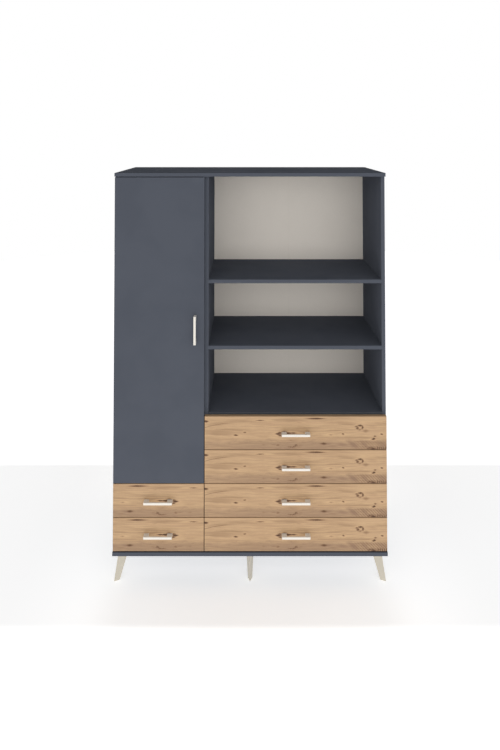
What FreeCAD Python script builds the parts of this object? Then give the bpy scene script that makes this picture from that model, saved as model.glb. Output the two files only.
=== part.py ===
import FreeCAD, Part
import math
import os

# Chifforobe: a tall hanging column with a door and two small drawers, beside a
# wide column of three open bays over four wide drawers, on splayed metal legs.
# Millimetres. X to the right, Y to the back, Z up, origin on the floor under
# the middle of the object's bounding box.

# --- overall form -----------------------------------------------------------
width = 1200.0
depth = 450.0                   # from the face of the fronts to the rear edges
board = 16.0                    # carcass board
leg_height = 115.0
left_column = 400.0             # width of the hanging column
edge_chamfer = 0.6              # broken edge of the edge banding
same_plane = 1e-6               # how near an edge lies to its plane

# --- fronts -----------------------------------------------------------------
front_thickness = 18.0
front_standoff = 2.5            # air between the fronts and the carcass
front_inset = 2.0               # from the outer faces of the sides
front_gap = 3.0                 # between neighbouring fronts
front_height = 142.5            # of every drawer front
front_round = 1.0               # radius on the edges of a front
bottom_gap = 6.0                # under the lowest fronts
bay_lap = 8.0                   # how far the top front covers the board above it
wide_drawer_count = 4
small_drawer_count = 2

# --- open bays --------------------------------------------------------------
low_bay = 275.0
middle_bay = 275.0
top_bay = 458.0

# --- back wall --------------------------------------------------------------
back_thickness = 3.0
back_setback = 24.0             # from the rear edges to the back wall
back_groove_depth = 8.0
back_groove_play = 0.1          # each side of the back wall in its groove
back_end_play = 0.5             # at the bottom of the groove
strip_flange = 8.0              # joining strip, each flange's width
strip_sheet = 1.0

# --- drawer boxes -----------------------------------------------------------
box_board = 12.0
box_height = 105.0
box_length = 385.0
box_rise = 12.0                 # from the front's lower edge to the box
bottom_sheet = 3.0
bottom_rise = 10.0              # from the box's lower edge to its bottom
bottom_groove = 6.0
bottom_play = 0.1
box_back_drop = 5.0             # the back board is lower than the sides

# --- telescopic slides ------------------------------------------------------
slide_length = 350.0
slide_width = 12.7              # from the carcass to the drawer box
slide_height = 45.0
slide_sheet = 1.2
slide_play = 0.35               # running play between the nested members
slide_lip = 4.2
slide_setback = 4.0             # behind the carcass's front plane
slide_rise = 48.0               # from the box's lower edge to the slide's centre

# --- handles ----------------------------------------------------------------
handle_length = 123.0
handle_height = 10.0
handle_projection = 24.0
handle_bar = 5.0                # thickness of the bar
handle_foot = 21.0
handle_round = 1.2
door_handle_inset = 40.0        # from the door's free edge
door_handle_z = 1095.0

# --- door hinges ------------------------------------------------------------
hinge_count = 3
hinge_end = 100.0               # from the door's ends to the outer hinges
cup_radius = 17.5
cup_depth = 11.8
cup_wall = 0.9
cup_edge = 5.0                  # from the door's edge to the bore
cup_flange = 1.2
cup_wing_length = 58.0
cup_wing_width = 20.0
cup_bore_play = 0.1
link_pin_radius = 1.25
link_spread = 7.0               # of the two link pins from the cup's centre
link_nose_spread = 1.0          # of their noses, behind the cup's mouth
link_play = 0.3                 # from the links' noses to the arm's
link_width = 9.0
link_sheet = 1.6
arm_length = 62.0
arm_width = 15.0
arm_height = 12.5
arm_sheet = 1.2
arm_nose = 0.9                  # ahead of the carcass's front plane
plate_setback = 37.0            # from the carcass's front plane to the screws
plate_height = 52.0
plate_width = 20.0
plate_sheet = 2.0

# --- hanging rail -----------------------------------------------------------
rail_height = 30.0
rail_width = 15.0
rail_wall = 1.2
rail_drop = 55.0                # from the top panel to the rail's centre
rail_end_play = 1.5
bracket_wall = 2.5
bracket_length = 12.0
bracket_play = 0.3

# --- legs -------------------------------------------------------------------
leg_sheet = 2.5
leg_top_flange = 45.5
leg_foot_flange = 26.0
leg_fold = 45.0                 # degrees between the two flanges
leg_blunt = 2.0                 # flat of the fold, along each flange
leg_splay = 21.5                # the ridge's lean from top to floor
leg_side_inset = 20.5           # of a corner leg's ridge from the side, at the top
leg_face_inset = 24.5           # and from the front or the rear
middle_leg_inset = 30.0         # of a middle leg's ridge from the same
leg_plate = 54.0
leg_plate_back = 22.0           # from the ridge to the plate's centre
leg_screw_spread = 17.0
screw_radius = 2.0
screw_head_radius = 4.0
screw_head = 2.4
screw_bite = 7.0                # stays below the back wall's groove

# --- cam fittings and dowels ------------------------------------------------
cam_radius = 7.5
cam_depth = 12.5
cam_reach = 34.0                # from the board's end to the cam's centre
cam_bolt_radius = 3.0
cam_bolt_bite = 11.0            # into the top or bottom panel
cam_inset = 60.0                # from the front and the back of an upright
dowel_radius = 4.0
dowel_bite = 8.0                # into the upright
dowel_seat = 22.0               # into the fixed board's end
dowel_inset = 70.0
disc_sides = 12                 # flats that stand for a small round head or disc
shank_sides = 8                 # and for a shank, a bolt or a dowel

# --- derived levels (Z) -----------------------------------------------------
floor_board_top = leg_height + board
first_front = floor_board_top + bottom_gap
pitch = front_height + front_gap
wide_fronts_top = first_front + wide_drawer_count * pitch - front_gap
bay_floor = wide_fronts_top - bay_lap
middle_shelf_z = bay_floor + board + low_bay
upper_shelf_z = middle_shelf_z + board + middle_bay
upright_top = upper_shelf_z + board + top_bay
height = upright_top + board
door_bottom = first_front + small_drawer_count * pitch
door_top = upright_top - front_gap
hanging_floor = door_bottom - (front_gap + board) / 2

# --- derived places (Y) -----------------------------------------------------
front_y = -(depth - handle_projection) / 2
front_back = front_y + front_thickness
carcass_y = front_back + front_standoff
rear_y = front_y + depth
back_y = rear_y - back_setback - back_thickness
shelf_rear = back_y - strip_sheet

# --- derived places (X) -----------------------------------------------------
half = width / 2
split_x = -half + left_column
left_in = -half + board                 # inner faces of the uprights
left_out = split_x - board
right_in = split_x + board
right_out = half - board
cup_x = -half + front_inset + cup_edge + cup_radius
seam_x = (right_in + right_out) / 2


def point(x, y, z):
    return FreeCAD.Vector(x, y, z)


def block(x, y, z):
    """A box from three (low, high) pairs."""
    solid = Part.makeBox(x[1] - x[0], y[1] - y[0], z[1] - z[0])
    solid.translate(point(x[0], y[0], z[0]))
    return solid


def panel(x, y, z):
    """A banded board: a box with the edges of its front face broken."""
    solid = block(x, y, z)
    rim = [edge for edge in solid.Edges if abs(edge.BoundBox.YMax - y[0]) < same_plane]
    return solid.makeChamfer(edge_chamfer, rim)


def cylinder(radius, length, start, direction):
    return Part.makeCylinder(radius, length, start, direction)


def rod(radius, length, start, direction, sides):
    """A straight rod with flats, for small hidden fittings and their bores."""
    step = 2 * math.pi / sides
    ring = [point(radius * math.cos(step * i), radius * math.sin(step * i), 0)
            for i in range(sides)]
    solid = prism(ring, point(0, 0, length))
    turn = FreeCAD.Rotation(point(0, 0, 1), direction)
    solid.Placement = FreeCAD.Placement(start, turn)
    return solid


def prism(points, along):
    """A straight extrusion of a closed outline."""
    outline = Part.makePolygon(points + points[:1])
    return Part.Face(outline).extrude(along)


def mirror_x(solid, x):
    return solid.mirror(point(x, 0, 0), point(1, 0, 0))


def cut_all(solid, tools):
    return solid.cut(tools) if tools else solid


def save(name, solids):
    """Write one node: one solid, or a group of separate solids."""
    group = solids if isinstance(solids, list) else [solids]
    clean = [solid for shape in group for solid in shape.Solids]
    shape = clean[0] if len(clean) == 1 else Part.makeCompound(clean)
    shape.exportStep("parts/" + name + ".step")


# --- carcass ----------------------------------------------------------------
def back_groove(x, z):
    """The slot that holds the back wall, over a stretch in X and Z."""
    y = (back_y - back_groove_play, back_y + back_thickness + back_groove_play)
    return block(x, y, z)


def upright_places():
    """Each upright: its name, its span in X and the side that its column is on."""
    return {
        "left_side_panel": ((-half, left_in), 1),
        "left_divider": ((left_out, split_x), -1),
        "right_divider": ((split_x, right_in), 1),
        "right_side_panel": ((right_out, half), -1),
    }


def inner_face(span, side):
    return span[1] if side > 0 else span[0]


def cam_places():
    """The end of an upright and the way out of it, for each cam fitting."""
    rows = (carcass_y + cam_inset, back_y - cam_inset)
    ends = ((upright_top, 1), (floor_board_top, -1))
    return [(y, end, way) for y in rows for end, way in ends]


def cam_disc(span, side, y, end, way):
    """The cam, let into the inner face of an upright."""
    start = point(inner_face(span, side), y, end - way * cam_reach)
    return rod(cam_radius, cam_depth, start, point(-side, 0, 0), disc_sides)


def cam_bolt(span, y, end, way, start_gap):
    """The bolt that the cam pulls on, or its bore, which opens into the cam's."""
    start = point((span[0] + span[1]) / 2, y, end - way * (cam_reach - start_gap))
    length = cam_reach - start_gap + cam_bolt_bite
    return rod(cam_bolt_radius, length, start, point(0, 0, way), shank_sides)


def all_cam_discs():
    return [cam_disc(span, side, *place)
            for span, side in upright_places().values() for place in cam_places()]


def all_cam_bolts(start_gap):
    return [cam_bolt(span, *place, start_gap)
            for span, side in upright_places().values() for place in cam_places()]


def fixed_boards():
    """Each board between two uprights: span in X, rear edge and lower face."""
    return {
        "upper_shelf": ((right_in, right_out), shelf_rear, upper_shelf_z),
        "middle_shelf": ((right_in, right_out), shelf_rear, middle_shelf_z),
        "drawer_cover_board": ((right_in, right_out), shelf_rear, bay_floor),
        "hanging_space_floor": ((left_in, left_out), back_y, hanging_floor),
    }


def board_dowels(span, rear, z):
    """Four dowels that carry a fixed board between its uprights."""
    rows = (carcass_y + dowel_inset, rear - dowel_inset)
    length = dowel_bite + dowel_seat
    dowels = []
    for y in rows:
        for x, way in ((span[0], 1), (span[1], -1)):
            start = point(x - way * dowel_bite, y, z + board / 2)
            dowels.append(rod(dowel_radius, length, start, point(way, 0, 0), shank_sides))
    return dowels


def all_dowels():
    return [dowel for place in fixed_boards().values() for dowel in board_dowels(*place)]


def make_uprights():
    """Sides and dividers, grooved for the back wall and bored for their fittings."""
    bores = all_cam_discs() + all_cam_bolts(0) + all_dowels()
    for name, (span, side) in upright_places().items():
        solid = panel(span, (carcass_y, rear_y), (floor_board_top, upright_top))
        face = inner_face(span, side)
        groove_x = sorted((face, face - side * back_groove_depth))
        groove = back_groove(groove_x, (floor_board_top, upright_top))
        near = [bore for bore in bores if bore.BoundBox.intersect(solid.BoundBox)]
        save(name, cut_all(solid, [groove] + near))


def make_top_and_bottom(leg_bores):
    bolts = all_cam_bolts(cam_radius)
    for name, low, way in (("top_panel", upright_top, 1), ("bottom_panel", leg_height, -1)):
        solid = panel((-half, half), (front_y, rear_y), (low, low + board))
        face = low if way > 0 else low + board
        groove_z = sorted((face, face + way * back_groove_depth))
        tools = [
            back_groove((left_in - back_groove_depth, left_out + back_groove_depth), groove_z),
            back_groove((right_in - back_groove_depth, right_out + back_groove_depth), groove_z),
        ]
        tools += [bolt for bolt in bolts if bolt.BoundBox.intersect(solid.BoundBox)]
        tools += leg_bores if way < 0 else []
        save(name, cut_all(solid, tools))


def make_fixed_boards():
    for name, (span, rear, z) in fixed_boards().items():
        solid = panel(span, (carcass_y, rear), (z, z + board))
        save(name, cut_all(solid, board_dowels(span, rear, z)))


def make_back_wall():
    """Thin sheets in the grooves; the wide column's two halves meet in a strip."""
    reach = back_groove_depth - back_end_play
    y = (back_y, back_y + back_thickness)
    z = (floor_board_top - reach, upright_top + reach)
    save("hanging_space_back", block((left_in - reach, left_out + reach), y, z))
    web = strip_sheet / 2
    save("bay_back_left", block((right_in - reach, seam_x - web), y, z))
    save("bay_back_right", block((seam_x + web, right_out + reach), y, z))
    lip = strip_flange / 2
    inner_z = (floor_board_top, upright_top)
    front_lip = block((seam_x - lip, seam_x + lip), (back_y - strip_sheet, back_y), inner_z)
    rear = back_y + back_thickness
    rear_lip = block((seam_x - lip, seam_x + lip), (rear, rear + strip_sheet), inner_z)
    middle = block((seam_x - web, seam_x + web), (back_y, rear), inner_z)
    save("back_joining_strip", front_lip.fuse([rear_lip, middle]).removeSplitter())


# --- hanging rail -----------------------------------------------------------
def oval(radius_z, radius_x, centre, length):
    """A stadium section extruded along +X: flat sides, round top and bottom."""
    x, y, z = centre
    straight = radius_z - radius_x
    low, high = z - straight, z + straight
    left, right = y - radius_x, y + radius_x
    side_a = Part.LineSegment(point(x, left, low), point(x, left, high)).toShape()
    crown = Part.Arc(point(x, left, high), point(x, y, high + radius_x), point(x, right, high))
    side_b = Part.LineSegment(point(x, right, high), point(x, right, low)).toShape()
    belly = Part.Arc(point(x, right, low), point(x, y, low - radius_x), point(x, left, low))
    outline = Part.Wire([side_a, crown.toShape(), side_b, belly.toShape()])
    return Part.Face(outline).extrude(point(length, 0, 0))


def make_rail():
    y = (carcass_y + back_y) / 2
    z = upright_top - rail_drop
    start = left_in + bracket_wall + rail_end_play
    length = left_out - bracket_wall - rail_end_play - start
    high, wide = rail_height / 2, rail_width / 2
    tube = oval(high, wide, (start, y, z), length)
    bore = oval(high - rail_wall, wide - rail_wall, (start, y, z), length)
    save("hanging_rail", tube.cut(bore))
    grow = bracket_play + bracket_wall
    shell = oval(high + grow, wide + grow, (left_in, y, z), bracket_length)
    seat_x = left_in + bracket_wall
    seat = oval(high + bracket_play, wide + bracket_play, (seat_x, y, z), bracket_length)
    bracket = shell.cut(seat)
    middle = (left_in + left_out) / 2
    save("rail_brackets", [bracket, mirror_x(bracket, middle)])


# --- handles ----------------------------------------------------------------
def handle():
    """A bridge handle on the plane y = 0, along X, standing out towards -Y."""
    long, high = handle_length / 2, handle_height / 2
    inner = long - handle_foot
    bar_back = -(handle_projection - handle_bar)
    outline = [
        point(-long, 0, -high), point(-long, -handle_projection, -high),
        point(long, -handle_projection, -high), point(long, 0, -high),
        point(inner, 0, -high), point(inner, bar_back, -high),
        point(-inner, bar_back, -high), point(-inner, 0, -high),
    ]
    solid = prism(outline, point(0, 0, handle_height))
    face_edges = [edge for edge in solid.Edges
                  if abs(edge.BoundBox.YMax + handle_projection) < same_plane]
    return solid.makeFillet(handle_round, face_edges)


def placed_handle(x, z, upright):
    solid = handle()
    if upright:
        solid.rotate(point(0, 0, 0), point(0, 1, 0), 90)
    solid.translate(point(x, front_y, z))
    return solid


# --- fronts -----------------------------------------------------------------
def front_panel(x, z):
    """A front board with all the edges of its show face rounded."""
    solid = block(x, (front_y, front_back), z)
    rim = [edge for edge in solid.Edges if abs(edge.BoundBox.YMax - front_y) < same_plane]
    return solid.makeFillet(front_round, rim)


# --- telescopic slides ------------------------------------------------------
def slide_sections():
    """Half sections of the three nested members: (distance from the carcass, height)."""
    sheet, play = slide_sheet, slide_play
    top = slide_height / 2
    mouth = top - slide_lip
    outer_reach = (slide_width + slide_lip) / 2
    outer = [
        (0, 0), (0, top), (outer_reach, top), (outer_reach, mouth),
        (outer_reach - sheet, mouth), (outer_reach - sheet, top - sheet),
        (sheet, top - sheet), (sheet, 0),
    ]
    mid_top = top - sheet - play
    mid_in = sheet + play
    mid_out = outer_reach - sheet - play
    mid_mouth = mid_top - slide_lip - sheet
    middle = [
        (mid_in, 0), (mid_in, mid_top), (mid_out, mid_top), (mid_out, mid_mouth),
        (mid_out - sheet, mid_mouth), (mid_out - sheet, mid_top - sheet),
        (mid_in + sheet, mid_top - sheet), (mid_in + sheet, 0),
    ]
    foot_in = mid_in + sheet + play
    foot_out = mid_out - sheet - play
    hat = mid_mouth - play
    inner = [
        (slide_width - sheet, 0), (slide_width - sheet, hat - sheet), (foot_in, hat - sheet),
        (foot_in, mid_top - sheet - slide_play), (foot_out, mid_top - sheet - slide_play),
        (foot_out, hat), (slide_width, hat), (slide_width, 0),
    ]
    return outer, middle, inner


def slide_member(section, face, side, z, start):
    """One member: its half section mirrored about its centre line, run along Y."""
    upper = [point(face + side * x, start, z + h) for x, h in section]
    lower = [point(face + side * x, start, z - h) for x, h in reversed(section[1:-1])]
    return prism(upper + lower, point(0, slide_length, 0))


def slide_pair(column, z):
    """The outer, middle and inner members at both sides of one drawer."""
    start = carcass_y + slide_setback
    members = []
    for section in slide_sections():
        left = slide_member(section, column[0], 1, z, start)
        members.append([left, mirror_x(left, (column[0] + column[1]) / 2)])
    return members


# --- drawers ----------------------------------------------------------------
def drawer_box(column, z):
    """Two grooved sides, a back that stands on the bottom, and the thin bottom."""
    x = (column[0] + slide_width, column[1] - slide_width)
    inner = (x[0] + box_board, x[1] - box_board)
    y = (front_back, front_back + box_length)
    sheet_z = z + bottom_rise
    slot_z = (sheet_z - bottom_play, sheet_z + bottom_sheet + bottom_play)
    slot_x = (inner[0] - bottom_groove, inner[1] + bottom_groove)
    slot = block(slot_x, (y[0] - bottom_groove, y[1]), slot_z)
    left = block((x[0], inner[0]), y, (z, z + box_height)).cut(slot)
    right = block((inner[1], x[1]), y, (z, z + box_height)).cut(slot)
    back_z = (sheet_z + bottom_sheet, z + box_height - box_back_drop)
    back = block(inner, (y[1] - box_board, y[1]), back_z)
    play = back_end_play
    sheet_x = (slot_x[0] + play, slot_x[1] - play)
    sheet_y = (y[0] - bottom_groove + play, y[1])
    sheet = block(sheet_x, sheet_y, (sheet_z, sheet_z + bottom_sheet))
    return [left, right, back, sheet], slot


def make_drawer(name, column, front_x, z):
    box, slot = drawer_box(column, z + box_rise)
    front = front_panel(front_x, (z, z + front_height)).cut(slot)
    save(name + "_front", front)
    save(name + "_box", box)
    middle = (front_x[0] + front_x[1]) / 2
    save(name + "_handle", placed_handle(middle, z + front_height / 2, False))
    outer, carriage, runner = slide_pair(column, z + box_rise + slide_rise)
    save(name + "_carriage", carriage)
    save(name + "_runner", runner)
    return outer


def make_drawers():
    wide_front = (split_x + front_gap / 2, half - front_inset)
    small_front = (-half + front_inset, split_x - front_gap / 2)
    banks = (
        ("wide_drawer_", (right_in, right_out), wide_front, wide_drawer_count),
        ("small_drawer_", (left_in, left_out), small_front, small_drawer_count),
    )
    rails = []
    for name, column, front_x, count in banks:
        for row in range(count):
            z = first_front + (count - 1 - row) * pitch
            rails += make_drawer(name + str(row + 1), column, front_x, z)
    save("cabinet_slides", rails)


# --- door and hinges --------------------------------------------------------
def hinge_heights():
    low, high = door_bottom + hinge_end, door_top - hinge_end
    return [low + (high - low) * step / (hinge_count - 1) for step in range(hinge_count)]


def hinge_cup(z):
    """The pressed cup with its flange, on the door's inner face."""
    flange_y = front_back + cup_flange
    inward = point(0, -1, 0)
    centre = point(cup_x, flange_y, z)
    shell = cylinder(cup_radius, cup_depth + cup_flange, centre, inward)
    wings = block(
        (cup_x - cup_wing_width / 2, cup_x + cup_wing_width / 2),
        (front_back, flange_y),
        (z - cup_wing_length / 2, z + cup_wing_length / 2),
    )
    hollow_depth = cup_depth + cup_flange - cup_wall
    hollow = cylinder(cup_radius - cup_wall, hollow_depth, centre, inward)
    return shell.fuse(wings).cut(hollow).removeSplitter()


def hinge_link(side, z):
    """One of the two folded links: an eye on its pin in the cup, its nose at the arm's."""
    x, nose_x = cup_x + side * link_spread, cup_x + side * link_nose_spread
    pin_y = front_back - cup_depth / 2 - link_pin_radius
    nose_y = carcass_y - arm_nose - link_play
    inside = cup_radius - cup_wall
    half_pin = math.sqrt(inside ** 2 - link_spread ** 2) - link_pin_radius / 2
    up = point(0, 0, 1)
    pin = rod(link_pin_radius, 2 * half_pin, point(x, pin_y, z - half_pin), up, shank_sides)
    low = z - link_width / 2
    eye = rod(link_pin_radius + link_sheet, link_width, point(x, pin_y, low), up, shank_sides)
    sheet = link_sheet * side
    strap = prism(
        [point(x, pin_y, low), point(nose_x, nose_y, low),
         point(nose_x + sheet, nose_y, low), point(x + sheet, pin_y, low)],
        point(0, 0, link_width),
    )
    return pin.fuse([eye, strap]).removeSplitter()


def hinge_arm(z):
    """The channel arm on its mounting plate, on the side's inner face."""
    x = left_in
    base = block(
        (x, x + plate_sheet),
        (carcass_y + plate_setback - plate_width / 2, carcass_y + plate_setback + plate_width / 2),
        (z - plate_height / 2, z + plate_height / 2),
    )
    foot, crown = x + plate_sheet, x + arm_height
    nose, tail = carcass_y - arm_nose, carcass_y + arm_length
    slope = arm_height - plate_sheet
    side_view = [
        point(foot, tail, 0), point(crown - slope / 3, tail, 0), point(crown, tail - slope, 0),
        point(crown, nose + slope / 2, 0), point(crown - slope / 3, nose, 0),
        point(foot + slope / 3, nose, 0), point(foot, nose + slope / 2, 0),
    ]
    body = prism(side_view, point(0, 0, arm_width))
    body.translate(point(0, 0, z - arm_width / 2))
    channel = block(
        (foot - arm_sheet, crown - arm_sheet), (nose + arm_sheet, tail - arm_sheet),
        (z - arm_width / 2 + arm_sheet, z + arm_width / 2 - arm_sheet),
    )
    return body.cut(channel).fuse(base).removeSplitter()


def make_door():
    x = (-half + front_inset, split_x - front_gap / 2)
    door = front_panel(x, (door_bottom, door_top))
    bores = [
        cylinder(cup_radius + cup_bore_play, cup_depth + cup_bore_play,
                 point(cup_x, front_back, z), point(0, -1, 0))
        for z in hinge_heights()
    ]
    save("door_panel", door.cut(bores))
    save("door_handle", placed_handle(x[1] - door_handle_inset, door_handle_z, True))
    cups, links, arms = [], [], []
    for z in hinge_heights():
        cups.append(hinge_cup(z))
        links += [hinge_link(1, z), hinge_link(-1, z)]
        arms.append(hinge_arm(z))
    save("hinge_cups", cups + links)
    save("hinge_arms", arms)


# --- legs -------------------------------------------------------------------
def turned(direction, degrees):
    angle = math.atan2(direction[1], direction[0]) + math.radians(degrees)
    return math.cos(angle), math.sin(angle)


def stepped(start, direction, distance):
    return start[0] + direction[0] * distance, start[1] + direction[1] * distance


def fold_section(ridge, outward, flange, z):
    """The V of a folded sheet at one height, its blunted ridge pointing outward."""
    inward = (-outward[0], -outward[1])
    half_fold = leg_fold / 2
    first, second = turned(inward, half_fold), turned(inward, -half_fold)
    tip_1, tip_2 = stepped(ridge, first, flange), stepped(ridge, second, flange)
    inner_1 = stepped(tip_1, turned(first, -90), leg_sheet)
    inner_2 = stepped(tip_2, turned(second, 90), leg_sheet)
    crotch = stepped(ridge, inward, leg_sheet / math.sin(math.radians(half_fold)))
    blunt_1, blunt_2 = stepped(ridge, first, leg_blunt), stepped(ridge, second, leg_blunt)
    outline = (blunt_1, tip_1, inner_1, crotch, inner_2, tip_2, blunt_2)
    return [point(x, y, z) for x, y in outline]


def tapered(foot, top):
    """A solid with flat sides between two parallel outlines."""
    rings = [foot, top]
    for i in range(len(foot)):
        j = (i + 1) % len(foot)
        rings.append([foot[i], foot[j], top[j], top[i]])
    faces = [Part.Face(Part.makePolygon(ring + ring[:1])) for ring in rings]
    return Part.Solid(Part.Shell(faces))


def plate_centre(ridge, outward):
    return stepped(ridge, outward, -leg_plate_back)


def screw_places(ridge, outward):
    centre, across = plate_centre(ridge, outward), turned(outward, 90)
    return [stepped(centre, across, reach) for reach in (leg_screw_spread, -leg_screw_spread)]


def screw(x, y):
    """A pan-head screw that goes up through the plate into the bottom panel."""
    seat = point(x, y, leg_height - leg_sheet)
    head = rod(screw_head_radius, screw_head, seat, point(0, 0, -1), disc_sides)
    shank = rod(screw_radius, leg_sheet + screw_bite, seat, point(0, 0, 1), shank_sides)
    return head.fuse(shank)


def leg(ridge, outward):
    """A folded sheet that tapers and leans outward, welded under its plate."""
    foot_ridge = stepped(ridge, outward, leg_splay)
    underside = leg_height - leg_sheet
    foot = fold_section(foot_ridge, outward, leg_foot_flange, 0)
    top = fold_section(ridge, outward, leg_top_flange, underside)
    blade = tapered(foot, top)
    x, y = plate_centre(ridge, outward)
    side = leg_plate / 2
    plate = block((x - side, x + side), (y - side, y + side), (underside, leg_height))
    holes = [screw(sx, sy) for sx, sy in screw_places(ridge, outward)]
    return plate.cut(holes).fuse(blade).removeSplitter()


def leg_places():
    """Each leg's ridge under the bottom panel and the way that it leans."""
    slant = math.sqrt(0.5)
    side_x, side_y = half - leg_side_inset, leg_face_inset
    return {
        "leg_front_left": ((-side_x, front_y + side_y), (-slant, -slant)),
        "leg_front_middle": ((0, front_y + middle_leg_inset), (0, -1)),
        "leg_front_right": ((side_x, front_y + side_y), (slant, -slant)),
        "leg_back_left": ((-side_x, rear_y - side_y), (-slant, slant)),
        "leg_back_middle": ((0, rear_y - middle_leg_inset), (0, 1)),
        "leg_back_right": ((side_x, rear_y - side_y), (slant, slant)),
    }


def make_legs():
    screws = []
    for name, (ridge, outward) in leg_places().items():
        save(name, leg(ridge, outward))
        screws += [screw(x, y) for x, y in screw_places(ridge, outward)]
    save("leg_screws", screws)
    return screws


# --- the whole object -------------------------------------------------------
os.makedirs("parts", exist_ok=True)
leg_screws = make_legs()
make_top_and_bottom(leg_screws)
make_uprights()
make_fixed_boards()
make_back_wall()
save("cam_fittings", all_cam_discs() + all_cam_bolts(cam_radius))
save("board_dowels", all_dowels())
make_rail()
make_drawers()
make_door()
print("height", height, "door", door_bottom, door_top, "front", front_y, "rear", rear_y)
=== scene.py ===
import bpy
import numpy as np
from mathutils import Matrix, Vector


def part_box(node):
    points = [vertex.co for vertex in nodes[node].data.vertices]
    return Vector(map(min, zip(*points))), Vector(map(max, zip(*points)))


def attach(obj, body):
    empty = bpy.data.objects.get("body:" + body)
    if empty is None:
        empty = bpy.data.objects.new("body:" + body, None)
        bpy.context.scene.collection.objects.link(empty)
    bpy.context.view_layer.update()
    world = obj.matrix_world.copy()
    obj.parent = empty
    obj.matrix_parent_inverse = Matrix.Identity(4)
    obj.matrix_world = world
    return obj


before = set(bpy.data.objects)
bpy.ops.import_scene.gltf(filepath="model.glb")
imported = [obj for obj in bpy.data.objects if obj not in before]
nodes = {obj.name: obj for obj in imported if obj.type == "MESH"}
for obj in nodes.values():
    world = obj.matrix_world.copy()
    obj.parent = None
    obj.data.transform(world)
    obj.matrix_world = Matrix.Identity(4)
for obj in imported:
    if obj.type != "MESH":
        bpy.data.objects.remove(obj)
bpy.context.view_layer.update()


# shader helpers

def tone(red, green, blue):
    # an 8-bit screen colour as the linear values that a shader takes
    parts = np.array([red, green, blue]) / 255
    linear = np.where(parts <= 0.04045, parts / 12.92, ((parts + 0.055) / 1.055) ** 2.4)
    return (*map(float, linear), 1.0)


def addNode(tree, kind, inputs=None, **options):
    node = tree.nodes.new("ShaderNode" + kind)
    for option, value in options.items():
        setattr(node, option, value)
    for key, value in (inputs or {}).items():
        if isinstance(value, bpy.types.NodeSocket):
            tree.links.new(value, node.inputs[key])
        else:
            node.inputs[key].default_value = value
    return node


def calc(tree, operation, *values):
    return addNode(tree, "Math", dict(enumerate(values)), operation=operation).outputs[0]


def vectorCalc(tree, operation, *values):
    return addNode(tree, "VectorMath", dict(enumerate(values)), operation=operation).outputs


def mixTones(tree, factor, first, second):
    inputs = {0: factor, 6: first, 7: second}
    return addNode(tree, "Mix", inputs, data_type="RGBA").outputs[2]


def mixValues(tree, factor, first, second):
    inputs = {0: factor, 2: first, 3: second}
    return addNode(tree, "Mix", inputs, data_type="FLOAT").outputs[0]


def fade(tree, value, low, high, start=0.0, end=1.0):
    # a smooth step from start to end while value goes from low to high
    inputs = {0: value, 1: low, 2: high, 3: start, 4: end}
    return addNode(tree, "MapRange", inputs, interpolation_type="SMOOTHSTEP").outputs[0]


def noise(tree, vector, scale, detail=2.0, roughness=0.5):
    inputs = {"Vector": vector, "Scale": scale, "Detail": detail, "Roughness": roughness}
    return addNode(tree, "TexNoise", inputs).outputs[0]


def stretch(tree, vector, scale, location=(0, 0, 0)):
    inputs = {"Vector": vector, "Scale": scale, "Location": location}
    return addNode(tree, "Mapping", inputs).outputs[0]


edgeTurn = {"samples": 6, "flat": 0.995, "turned": 0.88}  # flat and turned are cosines of the turn


def edgeMask(tree, radius):
    # 1 where the surface turns within the radius, 0 on the flat
    rounded = addNode(tree, "Bevel", {"Radius": radius}, samples=edgeTurn["samples"]).outputs[0]
    flat = addNode(tree, "NewGeometry").outputs["Normal"]
    agree = vectorCalc(tree, "DOT_PRODUCT", rounded, flat)["Value"]
    return fade(tree, agree, edgeTurn["flat"], edgeTurn["turned"])


def backgroundSeen(tree):
    # 1 for what is seen straight, in a mirror or through glass, 0 for light that falls on the object
    path = addNode(tree, "LightPath").outputs
    seen = calc(tree, "MAXIMUM", path["Is Camera Ray"], path["Is Transmission Ray"])
    return calc(tree, "MAXIMUM", seen, path["Is Glossy Ray"])


def newMaterial(name, metallic, specular):
    material = bpy.data.materials.new(name)
    material.use_nodes = True
    tree = material.node_tree
    shader = tree.nodes["Principled BSDF"]
    shader.inputs["Metallic"].default_value = metallic
    shader.inputs["Specular IOR Level"].default_value = specular
    place = addNode(tree, "TexCoord").outputs["Object"]
    return material, tree, shader, place


def finishMaterial(tree, shader, colour, roughness, height, depth):
    # height is 0 to 1, and depth says how many metres that is
    relief = addNode(tree, "Bump", {"Height": height, "Distance": depth, "Strength": 1.0})
    tree.links.new(colour, shader.inputs["Base Color"])
    tree.links.new(roughness, shader.inputs["Roughness"])
    tree.links.new(relief.outputs[0], shader.inputs["Normal"])


def dress(material, *names):
    for name in names:
        for holder in nodes[name].material_slots:
            holder.material = material


# dark boards: a noise is its scale, detail and roughness, a fade is low, high, start and end

darkBoard = {
    # painted light: the carcass tones are the door's melamine made lighter, standing in for light in the
    # bays and on the shelves; the band tone brings the carcass front edges back near the door's tone
    "door": (tone(84, 88, 97), tone(81, 85, 94)), "carcass": (tone(92, 96, 105), tone(89, 93, 102)),
    "edge": tone(100, 105, 114), "edgeWidth": 0.0012, "edgeFade": (0.3, 0.6, 0.45, 0.9),
    # the cover band is a painted shadow on the drawer cover board's front edge, where the drawer fronts
    # stand before it
    "band": tone(82, 86, 95), "coverShadowBand": tone(68, 71, 76), "bandFade": (-0.1922, -0.1925),
    "cloud": (7, 4), "cloudFade": (0.35, 0.65), "dust": (260, 3, 0.7), "dustFade": (0.62, 0.8, 0.0, 0.12),
    "grit": (1400, 2), "relief": 0.00004,
    "roughness": 0.85, "roughnessFade": (0.3, 0.7, -0.03, 0.04), "specular": 0.004,
}


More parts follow.
